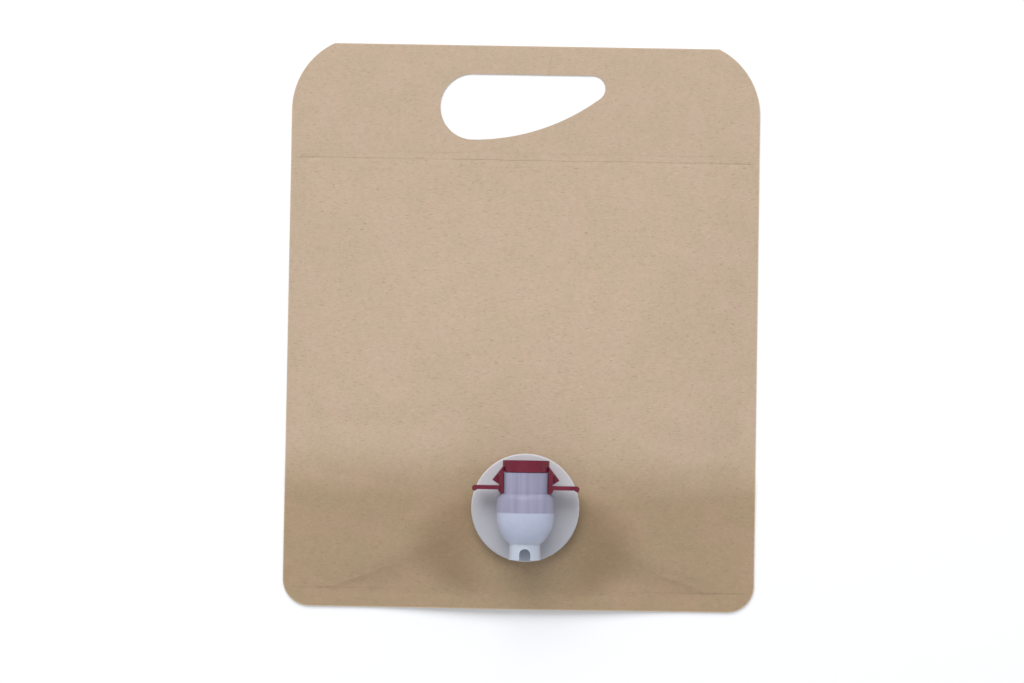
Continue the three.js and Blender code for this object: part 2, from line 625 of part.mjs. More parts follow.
// A wing: a thin plate with a round bead on its tip, rounded in plan.
function wing(sign, root) {
  const top = WING_HEIGHT + WING_BEAD_RADIUS;
  const beadX = WING_TIP - WING_BEAD_RADIUS;
  const edge = new THREE.Shape();
  edge.moveTo(root, top - WING_THICK);
  edge.lineTo(beadX - WING_BEAD_RADIUS, top - WING_THICK);
  edge.lineTo(beadX, WING_HEIGHT - WING_BEAD_RADIUS);
  edge.absarc(beadX, WING_HEIGHT, WING_BEAD_RADIUS, -QUARTER, QUARTER, false);
  edge.lineTo(root, top);
  const plate = new THREE.ExtrudeGeometry(edge, {
    depth: 2 * WING_HALF_DEPTH,
    bevelEnabled: false,
    curveSegments: CORNER_STEPS,
  }).translate(0, 0, -WING_HALF_DEPTH);

  const cornerX = WING_TIP - WING_CORNER_RADIUS;
  const cornerZ = WING_HALF_DEPTH - WING_CORNER_RADIUS;
  const plan = new THREE.Shape();
  plan.moveTo(root, -WING_HALF_DEPTH);
  plan.lineTo(cornerX, -WING_HALF_DEPTH);
  plan.absarc(cornerX, -cornerZ, WING_CORNER_RADIUS, -QUARTER, 0, false);
  plan.absarc(cornerX, cornerZ, WING_CORNER_RADIUS, 0, QUARTER, false);
  plan.lineTo(root, WING_HALF_DEPTH);
  const tall = 4 * WING_BEAD_RADIUS;
  const block = new THREE.ExtrudeGeometry(plan, {
    depth: tall,
    bevelEnabled: false,
    curveSegments: CORNER_STEPS,
  });
  block.rotateX(-QUARTER).translate(0, WING_HEIGHT - tall / 2, 0);
  if (sign < 0) {
    plate.rotateY(Math.PI);
    block.rotateY(Math.PI);
  }
  return solidOf(plate).intersect(solidOf(block));
}

// The elastic dome between the ring's lip and the button.
function diaphragm() {
  const hold = BUTTON_NECK_RADIUS + FIT_GAP;
  const rim = RIM_RADIUS;
  const foot = BORE_RADIUS;
  const crown = BUTTON_CAP_BOTTOM - FIT_GAP;
  const shoulder = BUTTON_CAP_RADIUS;
  const low = DIAPHRAGM_FOOT;
  return turnedUp([
    [hold, crown - DIAPHRAGM_THICK],
    [shoulder, crown - DIAPHRAGM_THICK],
    [foot - DIAPHRAGM_THICK, low],
    [rim, low],
    [rim, low + DIAPHRAGM_THICK],
    [foot - DIAPHRAGM_THICK / 2, low + DIAPHRAGM_THICK],
    [shoulder + DIAPHRAGM_THICK / 2, crown],
    [hold, crown],
    [hold, crown - DIAPHRAGM_THICK],
  ]);
}

function pushButton() {
  const body = turnedUp([
    [0, BUTTON_NECK_BOTTOM],
    [BUTTON_NECK_RADIUS, BUTTON_NECK_BOTTOM],
    [BUTTON_NECK_RADIUS, BUTTON_CAP_BOTTOM],
    [BUTTON_CAP_RADIUS, BUTTON_CAP_BOTTOM],
    [BUTTON_CAP_RADIUS, BUTTON_TOP - BUTTON_CROWN],
    [BUTTON_CAP_RADIUS - BUTTON_CROWN, BUTTON_TOP - BUTTON_CROWN / 2],
    [0, BUTTON_TOP],
  ]);
  const socketTop = BUTTON_NECK_BOTTOM + PEG_LENGTH + FIT_GAP;
  const socket = turnedUp(plug(PEG_RADIUS + FIT_GAP, BUTTON_NECK_BOTTOM - OVERCUT, socketTop));
  return cut(body, socket);
}

// Where the plug's cone lies: parallel to the seat, and FIT_GAP clear of it.
const CONE_SUM = BORE_RADIUS + SEAT_TOP - FIT_GAP * Math.SQRT2;
const PLUG_TOP = CONE_SUM - PLUG_TOP_RADIUS;
const WEB_BOTTOM = PLUG_TOP - PLUG_WEB;

function valvePlug() {
  const hole = STEM_RADIUS + FIT_GAP;
  return turnedUp([
    [hole, WEB_BOTTOM],
    [PLUG_RADIUS - PLUG_WALL, WEB_BOTTOM],
    [PLUG_RADIUS - PLUG_WALL, PLUG_BOTTOM],
    [PLUG_RADIUS, PLUG_BOTTOM],
    [PLUG_RADIUS, CONE_SUM - PLUG_RADIUS],
    [PLUG_TOP_RADIUS, PLUG_TOP],
    [hole, PLUG_TOP],
    [hole, WEB_BOTTOM],
  ]);
}

// The stem: a rod with a head under the plug, a collar over it and four fins that guide it.
function valveStem() {
  const headTop = WEB_BOTTOM - FIT_GAP;
  const collarBottom = PLUG_TOP + FIT_GAP;
  const collarTop = collarBottom + STEM_COLLAR_THICK;
  const top = BUTTON_NECK_BOTTOM - FIT_GAP;
  const rod = turnedUp([
    [0, headTop - STEM_HEAD_THICK],
    [STEM_HEAD_RADIUS, headTop - STEM_HEAD_THICK / 2],
    [STEM_HEAD_RADIUS, headTop],
    [STEM_RADIUS, headTop],
    [STEM_RADIUS, collarBottom],
    [STEM_COLLAR_RADIUS, collarBottom],
    [STEM_COLLAR_RADIUS, collarTop],
    [STEM_RADIUS, collarTop],
    [STEM_RADIUS, top],
    [PEG_RADIUS, top],
    [PEG_RADIUS, top + PEG_LENGTH],
    [0, top + PEG_LENGTH],
  ]);
  const reachOut = BORE_RADIUS - FIT_GAP;
  const fin = (turn) => {
    const face = polygon([
      [-reachOut, collarBottom],
      [reachOut, collarBottom],
      [reachOut, FIN_TOP],
      [-reachOut, FIN_TOP],
    ]);
    const plate = new THREE.ExtrudeGeometry(face, { depth: FIN_THICK, bevelEnabled: false });
    return solidOf(plate.translate(0, 0, -FIN_THICK / 2).rotateY(turn));
  };
  const round = turnedUp(plug(reachOut, collarBottom - OVERCUT, FIN_TOP + OVERCUT));
  return joined(rod, joined(fin(0), fin(QUARTER)).intersect(round));
}

// Materials

const finish = (color, roughness) => new THREE.MeshStandardMaterial({ color, roughness, metalness: 0 });
const KRAFT = finish(0xc4ab8e, 0.9);
const WELDED_WHITE = finish(0xe6e8ec, 0.5);
const MILKY_WHITE = finish(0xd3d7e2, 0.35);
const WINE_RED = finish(0x7a1f33, 0.4);
const SOFT_RED = finish(0x8a2236, 0.6);
const STEM_WHITE = finish(0xe4e6ea, 0.5);

function piece(name, solid, material) {
  const mesh = new THREE.Mesh(geometryOf(solid), material);
  mesh.name = name;
  return mesh;
}

// Assembly

const barrelGroup = new THREE.Group();
barrelGroup.position.z = DISC_THICK + BARREL_FROM_DISC;
barrelGroup.add(
  piece("grip_ring", grip(), WINE_RED),
  piece("diaphragm", diaphragm(), SOFT_RED),
  piece("push_button", pushButton(), SOFT_RED),
  piece("valve_stem", valveStem(), STEM_WHITE),
  piece("valve_plug", valvePlug(), SOFT_RED),
);

const tapGroup = new THREE.Group();
tapGroup.position.set(TAP_X, TAP_Y, DISC_BACK);
tapGroup.add(
  piece("gland", gland(), WELDED_WHITE),
  piece("tap_body", tapBody(), MILKY_WHITE),
  barrelGroup,
);

const pouchWithTap = new THREE.Group();
pouchWithTap.add(piece("pouch", pouch(), KRAFT), tapGroup);

export default pouchWithTap;
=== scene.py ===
"""Looks of the kraft pouch with its press tap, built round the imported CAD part."""

import math
import random

import bpy
import numpy as np
from mathutils import Matrix, Vector
from mathutils.geometry import delaunay_2d_cdt


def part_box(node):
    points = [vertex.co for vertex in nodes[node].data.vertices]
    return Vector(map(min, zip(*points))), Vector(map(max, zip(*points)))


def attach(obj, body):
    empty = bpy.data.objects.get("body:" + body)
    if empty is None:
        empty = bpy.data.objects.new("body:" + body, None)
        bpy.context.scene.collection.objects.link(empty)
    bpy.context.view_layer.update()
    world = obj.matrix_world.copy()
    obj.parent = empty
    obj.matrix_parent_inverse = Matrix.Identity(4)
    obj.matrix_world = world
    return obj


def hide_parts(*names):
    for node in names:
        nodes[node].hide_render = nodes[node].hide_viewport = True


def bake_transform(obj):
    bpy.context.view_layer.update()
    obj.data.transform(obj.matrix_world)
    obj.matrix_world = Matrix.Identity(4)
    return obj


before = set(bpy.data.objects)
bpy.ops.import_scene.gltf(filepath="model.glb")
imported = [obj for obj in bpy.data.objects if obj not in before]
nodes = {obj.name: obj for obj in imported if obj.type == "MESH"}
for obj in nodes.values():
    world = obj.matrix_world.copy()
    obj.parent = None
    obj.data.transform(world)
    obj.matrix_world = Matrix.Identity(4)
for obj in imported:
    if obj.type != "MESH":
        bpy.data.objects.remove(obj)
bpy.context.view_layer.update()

MM = 0.001

# Sizes of the pouch and its tap, in millimetres, as the CAD part has them

WIDTH, HEIGHT = 220.0, 264.0
FILM = 0.2
SIDE_SEAL, BOTTOM_SEAL, HEAD = 8.0, 9.0, 54.0
TOP_RADIUS, TOP_DROP = 35.0, 31.4
LOW_RADIUS = 12.5
INNER_RADIUS = 10.0
GUSSET_DEPTH, GUSSET_GAP, GUSSET_RUN = 55.0, 0.3, 12.0
LIP_LIFT, LIP_REACH = 4.0, 80.0
PANEL_GAP, SEAL_RAMP = 0.3, 2.0
AIR_RISE, TENT_POWER = 0.8, 1.5
RIDGE_RISE, RIDGE_ABOVE_FOLD = 4.2, 17.0
RIDGE_WIDTH_ABOVE, RIDGE_WIDTH_BELOW = 75.0, 34.0
PLATEAU, PLATEAU_RADIUS = 9.0, 23.5
NECK_HOLE = 14.3
SPIGOT_REACH = 13.7
HANDLE_TOP, HANDLE_SPAN, HANDLE_SHIFT = 13.5, 56.0, -1.6
HANDLE_BIG, HANDLE_SMALL, HANDLE_UNDER = 15.5, 6.0, 100.0
TAP = np.array([2.6, -84.4])
HALF_W, HALF_H = WIDTH / 2, HEIGHT / 2
FOLD_Y = -HALF_H + GUSSET_DEPTH
CAVITY_TOP = HALF_H - HEAD
CAVITY_LOW = -HALF_H + BOTTOM_SEAL
CAVITY_X = HALF_W - SIDE_SEAL
GUSSET_CEILING = 2 * FILM + GUSSET_GAP

# Spacing of the mesh's points, in millimetres

GRID = 1.5
FINE = 0.5  # on the narrow wrinkles
COARSE = 5.0
RIM = 0.5  # width of the cut edge's light line
NARROW = 1.2  # a wrinkle up to this wide gets the fine points


# Shape of the front panel

def eased(value, start, end):
    t = np.clip((value - start) / (end - start), 0, 1)
    return t * t * (3 - 2 * t)


def lip_lift(x, y):
    share = np.minimum(1, np.abs(x - TAP[0]) / LIP_REACH)
    return LIP_LIFT * np.cos(share * math.pi / 2) ** 2 * (1 - eased(y, CAVITY_LOW, TAP[1] - SPIGOT_REACH))


def seal_height(x, y):
    gusset = 1 - eased(y, FOLD_Y, FOLD_Y + GUSSET_RUN)
    return 2 * FILM + (2 * FILM + GUSSET_GAP) * gusset + lip_lift(x, y)


def arc(cx, cy, radius, start, end, steps):
    angles = np.radians(np.linspace(start, end, steps, endpoint=False))
    return [(cx + radius * math.cos(a), cy + radius * math.sin(a)) for a in angles]


def arc_steps(radius, degrees, step, least=6):
    return max(least, round(math.radians(degrees) * radius / step))


def line(a, b, step):
    count = max(1, round(math.dist(a, b) / step))
    return [tuple(np.add(np.multiply(a, 1 - i / count), np.multiply(b, i / count))) for i in range(count)]


def cavity_outline(steps=24):
    x, r = CAVITY_X - INNER_RADIUS, INNER_RADIUS
    top, low = CAVITY_TOP - r, CAVITY_LOW + r
    return (
        arc(x, top, r, 0, 90, steps)
        + arc(-x, top, r, 90, 180, steps)
        + arc(-x, low, r, 180, 270, steps)
        + arc(x, low, r, 270, 360, steps)
    )


def pouch_outline(step):
    tx, ty = HALF_W - TOP_RADIUS, HALF_H - TOP_DROP
    lx, ly = HALF_W - LOW_RADIUS, -HALF_H + LOW_RADIUS
    meet = math.degrees(math.asin(TOP_DROP / TOP_RADIUS))
    mx = tx + TOP_RADIUS * math.cos(math.radians(meet))
    top_turn = arc_steps(TOP_RADIUS, meet, step)
    low_turn = arc_steps(LOW_RADIUS, 90, step)
    return (
        line((HALF_W, ly), (HALF_W, ty), step)
        + arc(tx, ty, TOP_RADIUS, 0, meet, top_turn)
        + line((mx, HALF_H), (-mx, HALF_H), step)
        + arc(-tx, ty, TOP_RADIUS, 180 - meet, 180, top_turn)
        + line((-HALF_W, ty), (-HALF_W, ly), step)
        + arc(-lx, ly, LOW_RADIUS, 180, 270, low_turn)
        + line((-lx, -HALF_H), (lx, -HALF_H), step)
        + arc(lx, ly, LOW_RADIUS, 270, 360, low_turn)
    )


def handle_outline(step):
    """The teardrop hole: a big and a small round end, a straight top and a long arc below."""
    big, small = HANDLE_BIG, HANDLE_SMALL
    top = HALF_H - HANDLE_TOP
    left = np.array([HANDLE_SHIFT - (big + HANDLE_SPAN + small) / 2 + big, top - big])
    right = np.array([left[0] + HANDLE_SPAN, top - small])
    apart = math.dist(left, right)
    to_left, to_right = HANDLE_UNDER - big, HANDLE_UNDER - small
    along = (to_left**2 - to_right**2 + apart**2) / (2 * apart)
    off = math.sqrt(to_left**2 - along**2)
    axis = (right - left) / apart
    centre = left + axis * along + np.array([-axis[1], axis[0]]) * off
    a, b = [math.degrees(math.atan2(y, x)) % 360 for x, y in (left - centre, right - centre)]
    return (
        arc(*left, big, 90, a, arc_steps(big, a - 90, step, 4))
        + arc(*centre, HANDLE_UNDER, a, b, arc_steps(HANDLE_UNDER, b - a, step, 4))
        + arc(*right, small, b, 450, arc_steps(small, 450 - b, step, 4))
        + line((right[0], top), (left[0], top), step)
    )


CAVITY = np.array(cavity_outline())


def seal_reach(angle):
    """Distance from the tap's centre to the inner edge of the seals, for an array of directions."""
    corners = CAVITY - TAP
    table_angle, table_reach = [], []
    for p, q in zip(corners, np.roll(corners, -1, 0)):
        for t in np.linspace(0, 1, 12, endpoint=False):
            point = p + (q - p) * t
            table_angle.append(math.atan2(point[1], point[0]))
            table_reach.append(math.hypot(*point))
    order = np.argsort(table_angle)
    ta, tr = np.array(table_angle)[order], np.array(table_reach)[order]
    return np.interp(angle, np.r_[ta[-1] - 2 * math.pi, ta, ta[0] + 2 * math.pi], np.r_[tr[-1], tr, tr[0]])


def panel_height(x, y):
    dx, dy = x - TAP[0], y - TAP[1]
    distance = np.hypot(dx, dy)
    reach = seal_reach(np.arctan2(dy, dx))
    scale = reach / np.maximum(distance, 1e-6)
    foot = seal_height(TAP[0] + dx * scale, TAP[1] + dy * scale) + PANEL_GAP
    share = np.clip((distance - PLATEAU_RADIUS) / (reach - PLATEAU_RADIUS), 0, 1)
    above_crest = y - FOLD_Y - RIDGE_ABOVE_FOLD
    ridge_width = np.where(above_crest > 0, RIDGE_WIDTH_ABOVE, RIDGE_WIDTH_BELOW)
    ridge = RIDGE_RISE * np.exp(-((above_crest / ridge_width) ** 2))
    tent = foot + (PLATEAU - foot) * (1 - share) ** TENT_POWER + (AIR_RISE + ridge) * np.sin(math.pi * share)
    sealed = np.maximum(0, distance - reach)
    flat = seal_height(x, y) + PANEL_GAP * (1 - np.minimum(1, sealed / SEAL_RAMP))
    return np.where(distance <= PLATEAU_RADIUS, PLATEAU, np.where(distance >= reach, flat, tent))


# Relief of the paper: soft folds, the sealed head's crease and small wrinkles

def bumps(x, y, spots):
    """Sum of soft ridges. Each is centre x, y, half length, half width, angle in degrees and height."""
    total = np.zeros_like(x)
    for cx, cy, length, width, angle, height in spots:
        c, s = math.cos(math.radians(angle)), math.sin(math.radians(angle))
        u = (x - cx) * c + (y - cy) * s
        v = (y - cy) * c - (x - cx) * s
        total += height * np.exp(-((u / length) ** 2) - (v / width) ** 2)
    return total


# Centre x, y, half length, half width, angle in degrees and height of each soft fold
FOLDS = [
    (-66, -36, 40, 6, 5, 0.35),
    (-84, -46, 26, 5, -4, -0.3),
    (76, -42, 32, 7, -7, 0.35),
    (88, -56, 24, 5, -3, -0.25),
    (-52, -106, 26, 7, 30, 0.4),
    (-64, -92, 28, 6, 22, -0.3),
    (54, -106, 28, 8, -32, 0.4),
    (46, -117, 22, 5, -14, -0.25),
    (8, 10, 60, 16, 86, 0.25),
    (-48, 30, 46, 14, 80, -0.2),
    (60, 24, 50, 14, 98, 0.2),
]


def waves(x, y, count, shortest, longest, seed):
    """A few crossing sine waves, between -1 and 1, for paper that is not quite flat."""
    source = random.Random(seed)
    total = np.zeros_like(x)
    for _ in range(count):
        length = source.uniform(shortest, longest)
        angle = source.uniform(0, math.pi)
        phase = source.uniform(0, 2 * math.pi)
        u = x * math.cos(angle) + y * math.sin(angle)
        bend = 0.6 * np.sin(2 * math.pi * (y - x) / (3 * length))
        total += np.sin(2 * math.pi * u / length + phase + bend)
    return total / count


def small_wrinkles():
    """Wrinkles above the hole and beside it, stray ones, some along the crease, two at each low corner."""
    rng = random.Random(7)
    spots = [
        (10.5, 125.0, 5.0, 0.8, 87, 0.5),
        (-58, 113, 14, 6.0, 84, 0.35),
        (-30, 112, 12, 5.0, 96, -0.2),
    ]
    for _ in range(26):
        x, y = rng.uniform(-100, 100), rng.uniform(-118, 74)
        if math.hypot(x - TAP[0], y - TAP[1]) < 34:
            continue
        length, width = rng.uniform(2.5, 8), rng.uniform(0.6, 1.1)
        spots.append((x, y, length, width, rng.uniform(0, 180), rng.uniform(0.03, 0.08)))
    for _ in range(14):
        x, y = rng.uniform(-104, 104), CAVITY_TOP + rng.uniform(-4.5, 1.0)
        length, width = rng.uniform(2.5, 6), rng.uniform(0.6, 1.0)
        spots.append((x, y, length, width, rng.uniform(70, 110), rng.uniform(0.04, 0.1)))
    for side in (-1, 1):
        spots.append((side * 76, -118.5, 12, 1.2, -side * 20, 0.3))
        spots.append((side * 99, -109, 9, 1.1, -side * 62, 0.18))
    return spots


WRINKLES = small_wrinkles()


def relief(x, y):
    """What the paper adds to the panel's height. It fades out at the seals and round the tap."""
    distance = np.hypot(x - TAP[0], y - TAP[1])
    free = eased(distance, PLATEAU_RADIUS, PLATEAU_RADIUS + 16)
    sealed_head = eased(y, CAVITY_TOP, CAVITY_TOP + 3)
    rim = np.minimum(HALF_W - np.abs(x), y + HALF_H)
    inside = eased(rim, SIDE_SEAL - 3, SIDE_SEAL + 8)
    cockle = 0.05 * waves(x, y, 7, 9, 26, 11) + 0.22 * waves(x, y, 4, 45, 90, 13)
    body = (bumps(x, y, FOLDS) + cockle) * free * inside * (1 - sealed_head)
    head = 0.07 * (1 + waves(x, y, 5, 18, 60, 17)) * sealed_head * eased(HALF_H - y, 0, 6)
    crease = -0.12 * np.exp(-(((y - CAVITY_TOP) / 1.0) ** 2)) * eased(HALF_W - np.abs(x), 3, 8)
    return body + head + crease + bumps(x, y, WRINKLES) * free * eased(rim, 0.5, 3)


# Meshes

def lattice(spacing):
    """Rows and columns of points over the pouch's box."""
    xs = np.arange(-HALF_W, HALF_W + spacing, spacing)
    ys = np.arange(-HALF_H, HALF_H + spacing, spacing)
    return np.meshgrid(xs, ys)


def fine_mask(margin):
    """Which points of the fine lattice lie on a narrow wrinkle, or within a margin of one."""
    gx, gy = lattice(FINE)
    mask = np.zeros(gx.shape, bool)
    for cx, cy, length, width, angle, _ in WRINKLES:
        if width > NARROW:
            continue
        c, s = math.cos(math.radians(angle)), math.sin(math.radians(angle))
        u = (gx - cx) * c + (gy - cy) * s
        v = (gy - cy) * c - (gx - cx) * s
        mask |= (np.abs(u) < 1.6 * length + margin) & (np.abs(v) < 1.8 * width + margin)
    return mask


def inset(loop, depth):
    """The loop moved to its left by depth, which is inward for an anticlockwise loop."""
    shape = np.array(loop)
    along = np.roll(shape, -1, 0) - np.roll(shape, 1, 0)
    along /= np.hypot(*along.T)[:, None]
    return shape + np.c_[-along[:, 1], along[:, 0]] * depth


def triangulate(outer, holes, step, fine=False):
    """Points and triangles of a flat outline with holes. Grid points lie between, finer on wrinkles."""
    loops = [outer, *holes]
    points, edges = [], []
    for loop in loops:
        start = len(points)
        points += loop
        edges += [(start + i, start + (i + 1) % len(loop)) for i in range(len(loop))]
    shape = [np.array(loop) for loop in loops]
    xs = np.arange(-HALF_W + step / 2, HALF_W, step)
    ys = np.arange(-HALF_H + step / 2, HALF_H, step * math.sqrt(3) / 2)
    gx, gy = np.meshgrid(xs, ys)
    gx = gx + (np.arange(len(ys)) % 2)[:, None] * step / 2
    flat = np.c_[gx.ravel(), gy.ravel()]
    if fine:
        near = fine_mask(step * 0.6)
        row = np.clip(np.round((flat[:, 1] + HALF_H) / FINE).astype(int), 0, near.shape[0] - 1)
        column = np.clip(np.round((flat[:, 0] + HALF_W) / FINE).astype(int), 0, near.shape[1] - 1)
        wrinkled = fine_mask(0)
        fx, fy = lattice(FINE)
        flat = np.concatenate([flat[~near[row, column]], np.c_[fx[wrinkled], fy[wrinkled]]])
    clear = RIM + (0.3 if fine else step * 0.55)
    keep = inside_loop(flat, shape[0]) & (edge_distance(flat, shape[0]) > clear)
    for hole in shape[1:]:
        keep &= ~inside_loop(flat, hole) & (edge_distance(flat, hole) > clear)
    points += [tuple(p) for p in flat[keep]]
    points += [tuple(p) for p in inset(outer, RIM)]
    for hole in holes:
        points += [tuple(p) for p in inset(hole, -RIM)]
    result = delaunay_2d_cdt([Vector(p) for p in points], edges, [], 0, 1e-7)
    verts = np.array([tuple(v) for v in result[0]])
    tris = np.array([f for f in result[2] if len(f) == 3])
    centre = verts[tris].mean(1)
    good = inside_loop(centre, shape[0])
    for hole in shape[1:]:
        good &= ~inside_loop(centre, hole)
    tris = tris[good]
    a, b, c = verts[tris[:, 0]], verts[tris[:, 1]], verts[tris[:, 2]]
    flip = ((b - a)[:, 0] * (c - a)[:, 1] - (b - a)[:, 1] * (c - a)[:, 0]) < 0
    tris[flip] = tris[flip][:, ::-1]
    return verts, tris


def inside_loop(points, loop):
    x, y = points[:, 0], points[:, 1]
    inside = np.zeros(len(points), bool)
    for (ax, ay), (bx, by) in zip(loop, np.roll(loop, -1, 0)):
        crosses = (ay > y) != (by > y)
        if not crosses.any():
            continue
        inside ^= crosses & (x < (bx - ax) * (y - ay) / (by - ay if by != ay else 1e-12) + ax)
    return inside


def edge_distance(points, loop):
    best = np.full(len(points), 1e9)
    for a, b in zip(loop, np.roll(loop, -1, 0)):
        d = b - a
        t = np.clip(((points - a) @ d) / max(d @ d, 1e-12), 0, 1)
        best = np.minimum(best, np.hypot(*(points - a - t[:, None] * d).T))
    return best


def border(tris):
    """Directed edges that only one triangle has."""
    edges = np.concatenate([tris[:, [0, 1]], tris[:, [1, 2]], tris[:, [2, 0]]])
    seen = {tuple(e) for e in edges.tolist()}
    return np.array([e for e in edges.tolist() if (e[1], e[0]) not in seen])


class Shell:
    """Collects sheets of laminate, each with a face side, an inner side and cut edges, into one mesh."""

    def __init__(self):
        self.verts, self.faces, self.kinds, self.rims = [], [], [], []
        self.count = 0

    def add(self, points, faces, kinds, rims):
        self.verts.append(points)
        self.faces += [tuple(int(i) + self.count for i in f) for f in faces]
        self.kinds += kinds
        self.rims.append(rims)
        self.count += len(points)

    def sheet(self, flat, tris, top, bottom, top_kind, bottom_kind, outer_count=0):
        """One sheet. Its first outer_count points are the pouch's outer edge."""
        n = len(flat)
        points = np.concatenate([np.c_[flat, top], np.c_[flat, bottom]])
        rims = np.zeros(2 * n)
        rims[:outer_count] = 1
        rims[n:n + outer_count] = 1
        kinds = [top_kind] * len(tris) + [bottom_kind] * len(tris)
        self.add(points, tris.tolist() + (tris[:, ::-1] + n).tolist(), kinds, rims)
        walls = [(b, a, a + n, b + n) for a, b in border(tris).tolist()]
        used = sorted({i for w in walls for i in w})
        index = {v: i for i, v in enumerate(used)}
        faces = [tuple(index[i] for i in w) for w in walls]
        self.add(points[used], faces, ["edge"] * len(walls), np.zeros(len(used)))

    def strip(self, low, high, kind):
        """An upright strip between two rows of points."""
        n = len(low)
        faces = [(i, i + 1, i + 1 + n, i + n) for i in range(n - 1)]
        self.add(np.concatenate([low, high]), faces, [kind] * len(faces), np.zeros(2 * n))

    def build(self, name, materials):
        mesh = bpy.data.meshes.new(name)
        points = np.concatenate(self.verts) * MM
        mesh.from_pydata(points.tolist(), [], self.faces)
        slots = list(materials)
        for kind in slots:
            mesh.materials.append(materials[kind])
        mesh.polygons.foreach_set("material_index", [slots.index(k) for k in self.kinds])
        mesh.polygons.foreach_set("use_smooth", [k != "edge" for k in self.kinds])
        rim = mesh.attributes.new("rim", "FLOAT", "POINT")
        rim.data.foreach_set("value", np.concatenate(self.rims))
        mesh.update()
        obj = bpy.data.objects.new(name, mesh)
        bpy.context.scene.collection.objects.link(obj)
        return obj


# Materials

class Nodes:
    """Short names for building a node material."""

    def __init__(self, name):
        self.material = bpy.data.materials.new(name)
        self.material.use_nodes = True
        self.tree = self.material.node_tree
        self.shader = self.tree.nodes["Principled BSDF"]

    def new(self, kind, **settings):
        node = self.tree.nodes.new(kind)
        for key, value in settings.items():
            setattr(node, key, value)
        return node

    def link(self, a, b):
        self.tree.links.new(a, b)

    def position(self, scale=(1, 1, 1), turn=(0, 0, 0), offset=0.0):
        where = self.new("ShaderNodeTexCoord")
        mapping = self.new("ShaderNodeMapping")
        mapping.inputs["Scale"].default_value = scale
        mapping.inputs["Rotation"].default_value = turn
        mapping.inputs["Location"].default_value = (offset, 2 * offset, 0)
        self.link(where.outputs["Object"], mapping.inputs["Vector"])
        return mapping.outputs["Vector"]

    def place(self, axis):
        """One coordinate of the point, in metres."""
        where = self.new("ShaderNodeTexCoord")
        split = self.new("ShaderNodeSeparateXYZ")
        self.link(where.outputs["Object"], split.inputs[0])
        return split.outputs[axis]

    def smooth(self, value, start, end):
        """Eased step from 0 at start to 1 at end."""
        node = self.new("ShaderNodeMapRange", interpolation_type="SMOOTHSTEP")
        low, high = min(start, end), max(start, end)
        node.inputs["From Min"].default_value = low
        node.inputs["From Max"].default_value = high
        node.inputs["To Min"].default_value = 0 if start < end else 1
        node.inputs["To Max"].default_value = 1 if start < end else 0
        self.link(value, node.inputs["Value"])
        return node.outputs["Result"]

    def line(self, x, y, level, wander, width, dotted):
        """A thin line across the pouch that wanders and comes and goes: 1 on it and 0 beside it."""
        wave = self.noise(45, 2, 0.5, (1, 0, 0), offset=level)
        away = self.math("MULTIPLY_ADD", self.math("SUBTRACT", wave, 0.5), wander, level)
        distance = self.math("ABSOLUTE", self.math("SUBTRACT", y, away))
        near = self.math("MAXIMUM", self.math("MULTIPLY_ADD", distance, -1 / width, 1.0), 0.0)
        gaps = self.noise(28, 3, 0.6, (1, 0, 0), offset=3 * level)
        shown = self.ramp(gaps, [(dotted - 0.2, 0.15), (dotted, 1.0)])
        inside = self.smooth(self.math("ABSOLUTE", x), HALF_W * MM, (HALF_W - 6) * MM)
        return self.math("MULTIPLY", self.math("MULTIPLY", near, shown), inside)

    def noise(
        self, scale, detail=4, roughness=0.55, stretch=(1, 1, 1), turn=(0, 0, 0), distortion=0.0, offset=0.0
    ):
        node = self.new("ShaderNodeTexNoise")
        node.inputs["Scale"].default_value = scale
        node.inputs["Detail"].default_value = detail
        node.inputs["Roughness"].default_value = roughness
        node.inputs["Distortion"].default_value = distortion
        self.link(self.position(stretch, turn, offset), node.inputs["Vector"])
        return node.outputs["Fac"]

    def ramp(self, value, stops):
        node = self.new("ShaderNodeValToRGB")
        elements = node.color_ramp.elements
        while len(elements) < len(stops):
            elements.new(0.5)
        for element, (place, colour) in zip(elements, stops):
            element.position = place
            grey = isinstance(colour, (int, float))
            element.color = (colour, colour, colour, 1) if grey else (*colour, 1)
        self.link(value, node.inputs["Fac"])
        return node.outputs["Color"]

    def mix(self, factor, a, b, mode="MIX"):
        node = self.new("ShaderNodeMix", data_type="RGBA", blend_type=mode)
        for socket, value in ((node.inputs["Factor"], factor), (node.inputs["A"], a), (node.inputs["B"], b)):
            if hasattr(value, "is_output"):
                self.link(value, socket)
            elif isinstance(value, (int, float)):
                socket.default_value = value
            else:
                socket.default_value = (*value, 1)
        return node.outputs["Result"]

    def math(self, operation, a, b=0.0, c=0.0):
        node = self.new("ShaderNodeMath", operation=operation)
        for socket, value in zip(node.inputs, (a, b, c)):
            if hasattr(value, "is_output"):
                self.link(value, socket)
            else:
                socket.default_value = value
        return node.outputs[0]

    def bump(self, height, strength, distance, below=None):
        node = self.new("ShaderNodeBump")
        node.inputs["Strength"].default_value = strength
        node.inputs["Distance"].default_value = distance
        self.link(height, node.inputs["Height"])
        if below is not None:
            self.link(below, node.inputs["Normal"])
        return node.outputs["Normal"]

    def set(self, **values):
        for key, value in values.items():
            socket = self.shader.inputs[key.replace("_", " ")]
            if hasattr(value, "is_output"):
                self.link(value, socket)
            elif isinstance(value, tuple) and len(value) == 3:
                socket.default_value = (*value, 1)
            else:
                socket.default_value = value


def linear(value):
    return value / 12.92 if value <= 0.04045 else ((value + 0.055) / 1.055) ** 2.4


def rgb(r, g, b):
    """Linear colour of an sRGB colour given from 0 to 255."""
    return tuple(linear(value / 255) for value in (r, g, b))
